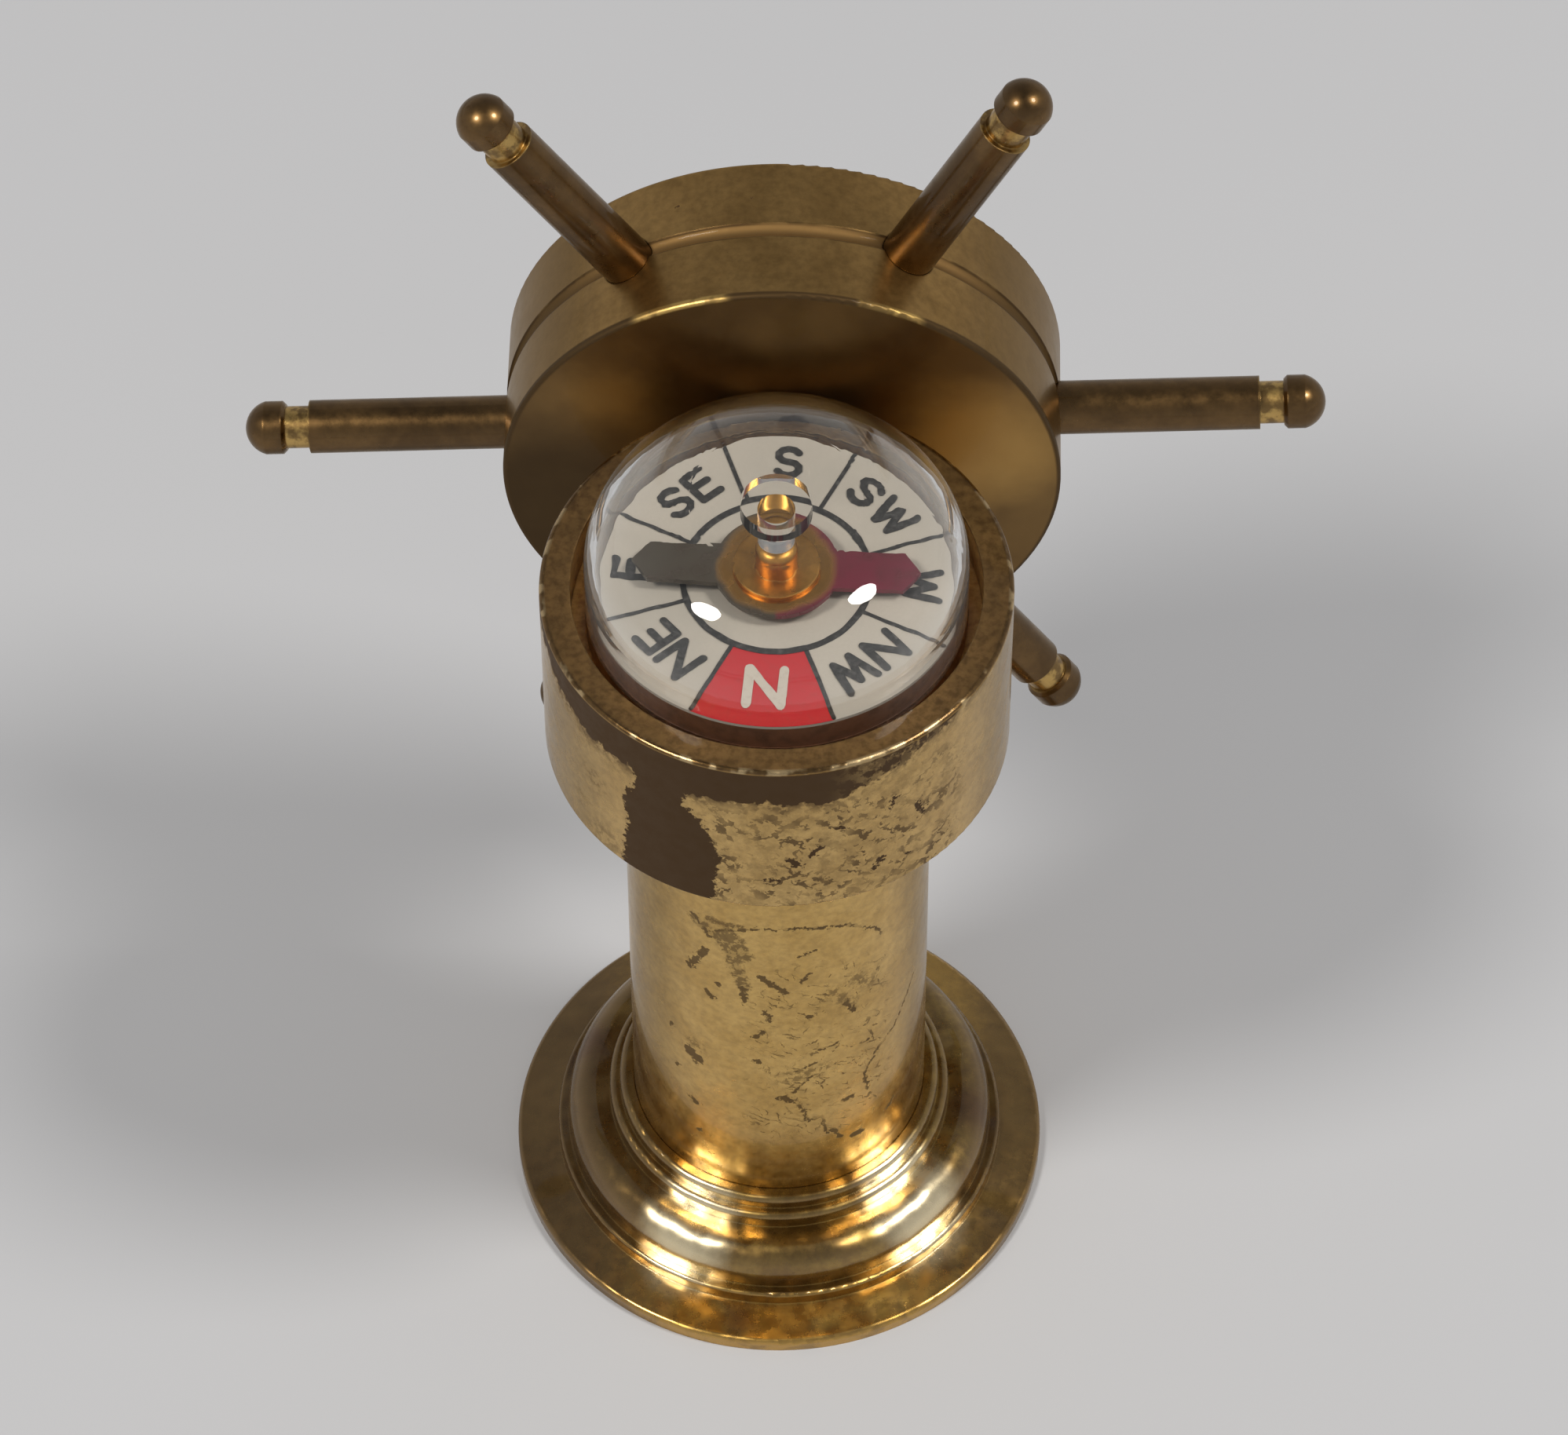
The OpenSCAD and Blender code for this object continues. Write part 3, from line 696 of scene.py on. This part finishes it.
def spoke_brass():
    """Tarnished, with brighter brass where the neck is cut in, that far from the axle."""
    m = Shader("spoke_brass")
    colour, grain = brass_colour(m, SPOKE_TONE, SPOKE_TONE_DULL, OXIDE)
    x, _, z = m.split(m.vector("SUBTRACT", m.place, (0.0, 0.0, AXLE_Z * MM)))
    reach = m.in_mm(m.length(x, z))
    blotches = m.patchy((1.2, 3, 0.6), 0.42, 0.62, 0.15, 0.75)
    colour = m.blend(m.both(m.band(reach, *SPOKE_NECK, 0.08), blotches), colour, LACQUER)
    specks = m.patchy(SPECKS, 0.69, 0.74)
    return brass_surface(m, colour, grain, SPOKE_SHINE, specks, coat=SPOKE_COAT)


set_material(column_brass(), "column")
set_material(cup_brass(), "cup")
set_material(foot_brass(), "foot")
set_material(wheel_brass(), "wheel_drum")
set_material(spoke_brass(), *[f"spoke_{i + 1}" for i in range(SPOKES)])
set_material(
    plain_metal("washer_brass", TARNISH, TARNISH_DULL, OXIDE, (0.3, 0.45)),
    "front_washer", "back_washer",
)
set_material(
    plain_metal("cap_brass", CAP_TONE, CAP_TONE_DULL, OXIDE, (0.26, 0.38), spots=0.0),
    "needle_cap",
)
set_material(
    plain_metal("screw_steel", STEEL, STEEL_DULL, STEEL_DARK, (0.3, 0.42)),
    "foot_screw", "cup_screw", "axle_screw",
)
set_material(
    plain_metal("pin_steel", PIN_STEEL, STEEL, PIN_DARK, (0.15, 0.25), spots=0.0),
    "pivot_pin",
)

# Colours of paint, paper, plastic and print
NEEDLE_BRASS = (0.50, 0.26, 0.07, 1)
NEEDLE_BLACK = (0.085, 0.07, 0.05, 1)
NEEDLE_RED = (0.20, 0.03, 0.05, 1)
NEEDLE_GRIME = (0.05, 0.03, 0.02, 1)
PAPER = (0.52, 0.465, 0.395, 1)
PAPER_AGED = (0.45, 0.405, 0.345, 1)
PAPER_FIBRE = (0.40, 0.35, 0.29, 1)
PLASTIC = (0.17, 0.075, 0.04, 1)
PLASTIC_DARK = (0.09, 0.042, 0.022, 1)
BLACK_INK = [(0.02, 0.019, 0.018, 1), (0.09, 0.085, 0.08, 1)]
RED_INK = [(0.52, 0.02, 0.025, 1), (0.44, 0.028, 0.028, 1)]
CREAM_INK = [(0.60, 0.53, 0.45, 1), (0.52, 0.43, 0.36, 1)]

# The needle's paint: from where it covers the brass, how far that edge waves, and half the
# width of the line where the arms meet, in millimetres; and how much of the metal it hides
PAINT_FROM = (2.6, 3.2)
PAINT_WAVES = 0.8
ARMS_MEET = 0.1
PAINT_HIDES = 0.75


def needle_paint():
    """Brass at the middle, a black arm towards -X and a magenta-red arm towards +X."""
    m = Shader("needle_paint")
    low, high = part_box("needle")
    offset = m.vector("SUBTRACT", m.place, tuple((low + high) / 2))
    across = m.split(offset)[0]
    cloudy = m.noise(0.7, 3, 0.5)
    arm = m.ramp(across, -ARMS_MEET * MM, ARMS_MEET * MM)
    paint = m.blend(arm, NEEDLE_BLACK, NEEDLE_RED)
    paint = m.blend(m.ramp(cloudy, 0.35, 0.7, 0.0, 0.4), paint, NEEDLE_GRIME)
    reach = m.vector("LENGTH", offset, number=True)
    waves = m.maths("MULTIPLY", m.maths("SUBTRACT", cloudy, 0.5), PAINT_WAVES * MM)
    painted = m.ramp(m.maths("ADD", reach, waves), *[r * MM for r in PAINT_FROM])
    m.set(
        Base_Color=m.blend(painted, NEEDLE_BRASS, paint),
        Metallic=m.inverse(m.maths("MULTIPLY", painted, PAINT_HIDES)),
        Roughness=m.ramp(cloudy, 0.3, 0.7, 0.16, 0.3),
        Normal=m.bump(cloudy, 0.2, 0.05),
    )
    return m.material


def card_paper():
    m = Shader("card_paper")
    fibres = m.noise(6.0, 4, 0.6)
    colour = m.blend(m.patchy((0.15, 3, 0.5), 0.35, 0.7), PAPER, PAPER_AGED)
    m.set(
        Base_Color=m.blend(m.ramp(fibres, 0.3, 0.7, 0.0, 0.15), colour, PAPER_FIBRE),
        Roughness=m.ramp(fibres, 0.3, 0.7, 0.5, 0.65),
        Normal=m.bump(fibres, 0.2, 0.01),
    )
    return m.material


def dark_plastic():
    m = Shader("dark_plastic")
    wear = m.noise(1.2, 4, 0.6)
    m.set(
        Base_Color=m.blend(m.ramp(wear, 0.4, 0.75), PLASTIC, PLASTIC_DARK),
        Roughness=m.ramp(wear, 0.3, 0.7, 0.3, 0.45),
        Normal=m.bump(wear, 0.15, 0.02),
    )
    return m.material


def ink(name, colour, worn):
    m = Shader(name)
    patches = m.noise(3.0, 4, 0.6)
    m.set(
        Base_Color=m.blend(m.ramp(patches, 0.45, 0.8), colour, worn),
        Roughness=m.ramp(patches, 0.3, 0.7, 0.35, 0.5),
        Normal=m.bump(patches, 0.2, 0.01),
    )
    return m.material


# The dome. Its wall is made a little milky, as haze together with painted sheen, from that far
# out and from that far beside the middle, in millimetres, and milkier behind the middle than
# before it.
DOME_TINT = (0.97, 0.975, 0.965, 1)
DOME_SHADOW = (0.93, 0.93, 0.92, 1)
DOME_IOR = 1.49
WALL_R = (9.2, 9.9)
WALL_BESIDE = (4.0, 8.0)
WALL_BEHIND = (0.0, 3.0)
HAZE_AND_SHEEN = {"before": 0.05, "more_behind": 0.2}


def clear_plastic():
    """Clear moulded plastic with faint scuffs and painted sheen; lamps reach what is inside."""
    m = Shader("clear_plastic")
    x, y = [m.in_mm(part) for part in m.split(m.place)[:2]]
    beside = m.ramp(m.maths("ABSOLUTE", x), *WALL_BESIDE)
    at_wall = m.ramp(m.length(x, y), *WALL_R)
    # Milky haze with painted sheen on the wall's sides, more behind the middle.
    haze_and_sheen = m.maths(
        "MULTIPLY_ADD", m.ramp(y, *WALL_BEHIND), HAZE_AND_SHEEN["more_behind"], HAZE_AND_SHEEN["before"]
    )
    m.set(
        Base_Color=DOME_TINT,
        Roughness=m.patchy((1.4, 5, 0.7), 0.5, 0.85, 0.0, 0.03),
        IOR=DOME_IOR,
        Transmission_Weight=m.inverse(m.both(at_wall, beside, haze_and_sheen)),
        Normal=m.bump(m.noise(0.35, 2, 0.5), 0.008, 0.3),
    )
    through = m.add("BsdfTransparent", Color=DOME_SHADOW)
    path = m.tree.nodes.new("ShaderNodeLightPath").outputs
    mix = m.tree.nodes.new("ShaderNodeMixShader")
    m.put(mix.inputs[0], m.either(path["Is Shadow Ray"], path["Is Diffuse Ray"]))
    m.put(mix.inputs[1], m.bsdf.outputs[0])
    m.put(mix.inputs[2], through)
    m.put(m.out.inputs["Surface"], mix.outputs[0])
    return m.material


set_material(needle_paint(), "needle")
set_material(card_paper(), "dial_card")
set_material(dark_plastic(), "capsule_base")
set_material(clear_plastic(), "dome")
black_ink = ink("black_ink", *BLACK_INK)
red_ink = ink("red_ink", *RED_INK)
cream_ink = ink("cream_ink", *CREAM_INK)

# The card that the print lies on, in millimetres
CARD_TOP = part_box("dial_card")[1].z / MM
CARD_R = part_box("dial_card")[1].x / MM


def mesh_piece(name, points, faces, body, material):
    mesh = bpy.data.meshes.new(name)
    mesh.from_pydata([Vector(p) * MM for p in points], [], faces)
    mesh.validate()
    mesh.update()
    piece = bpy.data.objects.new(name, mesh)
    bpy.context.scene.collection.objects.link(piece)
    mesh.materials.append(material)
    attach(piece, body)


def spot(radius, angle):
    return (radius * math.cos(angle), radius * math.sin(angle))


def slab(outline, bottom, top):
    """Points and faces of a flat piece: an outline in X and Y between two heights."""
    count = len(outline)
    points = [(x, y, bottom) for x, y in outline] + [(x, y, top) for x, y in outline]
    faces = [tuple(reversed(range(count))), tuple(range(count, 2 * count))]
    faces += [(i, (i + 1) % count, (i + 1) % count + count, i + count) for i in range(count)]
    return points, faces


def print_layer(name, outlines, material, lift=PRINT_LIFT):
    """One printed layer lying on the dial card; where strokes cross, the later one lies on top."""
    points, faces = [], []
    for order, outline in enumerate(outlines):
        top = CARD_TOP + lift + order * STROKE_LIFT
        more, sides = slab(outline, top - PRINT_T, top)
        faces += [tuple(i + len(points) for i in face) for face in sides]
        points += more
    mesh_piece(name, points, faces, "stand", material)


def ribbon(path, width, round_steps=5):
    """Outline of a line of even width with round ends, along a path that bends gently."""
    left, right = [], []
    for i, point in enumerate(path):
        here = Vector(point)
        before = Vector(path[max(i - 1, 0)])
        after = Vector(path[min(i + 1, len(path) - 1)])
        along = (after - before).normalized()
        side = Vector((-along.y, along.x))
        left.append(here + side * width / 2)
        right.append(here - side * width / 2)
    first = (Vector(path[1]) - Vector(path[0])).normalized()
    last = (Vector(path[-1]) - Vector(path[-2])).normalized()

    def cap(centre, along):
        start = math.atan2(along.y, along.x) + math.pi / 2
        return [
            Vector(centre) + Vector(spot(width / 2, start - math.pi * k / round_steps))
            for k in range(1, round_steps)
        ]

    outline = left + cap(path[-1], last) + right[::-1] + cap(path[0], -first)
    return [(p.x, p.y) for p in reversed(outline)]


def arc(radius, start, end, steps):
    return [spot(radius, start + (end - start) * i / steps) for i in range(steps + 1)]


SECTOR = 2 * math.pi / SECTORS


def dial_lines():
    """The ring and the lines between the sectors."""
    outlines = []
    for i in range(SECTORS):
        edge = DIAL_TURN + (i + 0.5) * SECTOR
        outlines.append(ribbon([spot(RING_R, edge), spot(CARD_R - LINE_W / 2, edge)], LINE_W))
        outlines.append(ribbon(arc(RING_R, edge, edge + SECTOR, RING_STEPS), RING_W))
    print_layer("dial_lines", outlines, black_ink, 2 * PRINT_LIFT)


def north_sector():
    start = DIAL_TURN - SECTOR / 2
    end = start + SECTOR
    edge = arc(CARD_R, start, end, NORTH_STEPS["edge"])
    ring = arc(RING_R, end, start, NORTH_STEPS["ring"])
    print_layer("north_sector", [edge + ring], red_ink)


dial_lines()
north_sector()


def bow(centre_x, centre_y, half_wide, half_high, angles):
    """Points of an oval at these angles, in degrees."""
    return [
        (centre_x + half_wide * math.cos(a * DEG), centre_y + half_high * math.sin(a * DEG))
        for a in angles
    ]


UPPER_BOW = bow(0.33, 0.74, 0.30, 0.24, range(25, 271, 35))
LOWER_BOW = bow(0.33, 0.26, 0.32, 0.25, range(90, -156, -35))

# Strokes of each letter, in a box one unit high, and the width of that box
LETTERS = {
    "N": ([[(0, 0), (0, 1)], [(0, 1), (0.8, 0)], [(0.8, 0), (0.8, 1)]], 0.8),
    "E": (
        [[(0, 0), (0, 1)], [(0, 1), (0.62, 1)], [(0, 0.52), (0.55, 0.52)], [(0, 0), (0.62, 0)]],
        0.62,
    ),
    "S": ([UPPER_BOW + LOWER_BOW], 0.66),
    "W": (
        [
            [(0, 1), (0.24, 0)], [(0.24, 0), (0.5, 0.85)],
            [(0.5, 0.85), (0.76, 0)], [(0.76, 0), (1, 1)],
        ],
        1.0,
    ),
}
LETTER_GAP = 0.32


def lettering(word, height, stroke):
    """Outlines of a word centred on the origin, upright along +Y."""
    width = sum(LETTERS[c][1] for c in word) + LETTER_GAP * (len(word) - 1)
    outlines, start = [], -width / 2
    for c in word:
        strokes, wide = LETTERS[c]
        for path in strokes:
            scaled = [((start + x) * height, (y - 0.5) * height) for x, y in path]
            outlines.append(ribbon(scaled, stroke))
        start += wide + LETTER_GAP
    return outlines


def dial_word(word, sector, radius, height, stroke, material):
    """Lays a word on the dial in its sector, with its top towards the edge."""
    angle = DIAL_TURN + sector * SECTOR
    turn = Matrix.Rotation(angle - math.pi / 2, 2)
    centre = Vector(spot(radius, angle))
    placed = [
        [tuple(turn @ Vector(p) + centre) for p in outline]
        for outline in lettering(word, height, stroke)
    ]
    print_layer("dial_" + word, placed, material, 3 * PRINT_LIFT)


# Radius, height and stroke of the words, in millimetres
NORTH_TEXT = (7.1, 2.2, 0.5)
ONE_LETTER_TEXT = (7.6, 1.85, 0.42)
TWO_LETTER_TEXT = (7.2, 1.85, 0.42)
WORDS = ["N", "NW", "W", "SW", "S", "SE", "E", "NE"]
for index, word in enumerate(WORDS):
    if word == "N":
        dial_word(word, index, *NORTH_TEXT, cream_ink)
    else:
        text = ONE_LETTER_TEXT if len(word) == 1 else TWO_LETTER_TEXT
        dial_word(word, index, *text, black_ink)


def make_floor():
    half = FLOOR_SIZE / 2
    corners = [(-half, -half, 0), (half, -half, 0), (half, half, 0), (-half, half, 0)]
    mesh = bpy.data.meshes.new("floor")
    mesh.from_pydata(corners, [], [(0, 1, 2, 3)])
    floor = bpy.data.objects.new("floor", mesh)
    bpy.context.scene.collection.objects.link(floor)
    m = Shader("floor")
    clouds = m.noise(0.02, 3, 0.5)
    m.set(Base_Color=m.blend(clouds, FLOOR_COLOUR, FLOOR_FAINT), Roughness=FLOOR_ROUGHNESS)
    mesh.materials.append(m.material)


def make_lamp(name, toward):
    light = bpy.data.lights.new(name, "AREA")
    light.shape = "DISK"
    light.size = 2 * LAMP_RADIUS
    light.energy = LAMP_POWER
    light.color = LAMP_COLOUR
    lamp = bpy.data.objects.new(name, light)
    lamp.visible_transmission = False
    bpy.context.scene.collection.objects.link(lamp)
    away = Vector(toward).normalized()
    lamp.location = away * LAMP_DISTANCE
    lamp.rotation_euler = away.to_track_quat("Z", "Y").to_euler()


def make_room():
    """Pale walls that fade to a darker ceiling."""
    world = bpy.data.worlds.new("room")
    bpy.context.scene.world = world
    world.use_nodes = True
    tree = world.node_tree
    background = tree.nodes["Background"]
    coordinates = tree.nodes.new("ShaderNodeTexCoord")
    height = tree.nodes.new("ShaderNodeSeparateXYZ")
    tree.links.new(coordinates.outputs["Generated"], height.inputs[0])
    fade = tree.nodes.new("ShaderNodeMix")
    fade.data_type = "RGBA"
    walls, ceiling = [s for s in fade.inputs if s.type == "RGBA"]
    walls.default_value = HORIZON
    ceiling.default_value = CEILING
    tree.links.new(height.outputs["Z"], fade.inputs[0])
    tree.links.new(next(s for s in fade.outputs if s.type == "RGBA"), background.inputs["Color"])
    background.inputs["Strength"].default_value = 1.0
    world.cycles.sampling_method = "NONE"


def make_camera():
    """A pinhole camera at the photograph's viewpoint."""
    forward = Vector((
        -math.sin(LOOK_YAW) * math.cos(LOOK_DOWN),
        math.cos(LOOK_YAW) * math.cos(LOOK_DOWN),
        -math.sin(LOOK_DOWN),
    ))
    right = forward.cross(Vector((0, 0, 1))).normalized()
    up = right.cross(forward)
    side = math.cos(LOOK_ROLL) * right + math.sin(LOOK_ROLL) * up
    top = math.cos(LOOK_ROLL) * up - math.sin(LOOK_ROLL) * right
    lens = bpy.data.cameras.new("camera")
    lens.sensor_fit = "HORIZONTAL"
    lens.sensor_width = SENSOR_W
    lens.lens = FOCAL_PX / IMAGE_W * SENSOR_W
    lens.clip_start = NEAR_CLIP
    camera = bpy.data.objects.new("camera", lens)
    bpy.context.scene.collection.objects.link(camera)
    turn = Matrix((side, top, -forward)).transposed().to_4x4()
    camera.matrix_world = Matrix.Translation(Vector(EYE) * MM) @ turn
    bpy.context.scene.camera = camera


make_floor()
make_lamp("left_lamp", LEFT_LAMP_FROM)
make_lamp("right_lamp", RIGHT_LAMP_FROM)
make_room()
make_camera()
bpy.context.scene.view_settings.view_transform = "Standard"
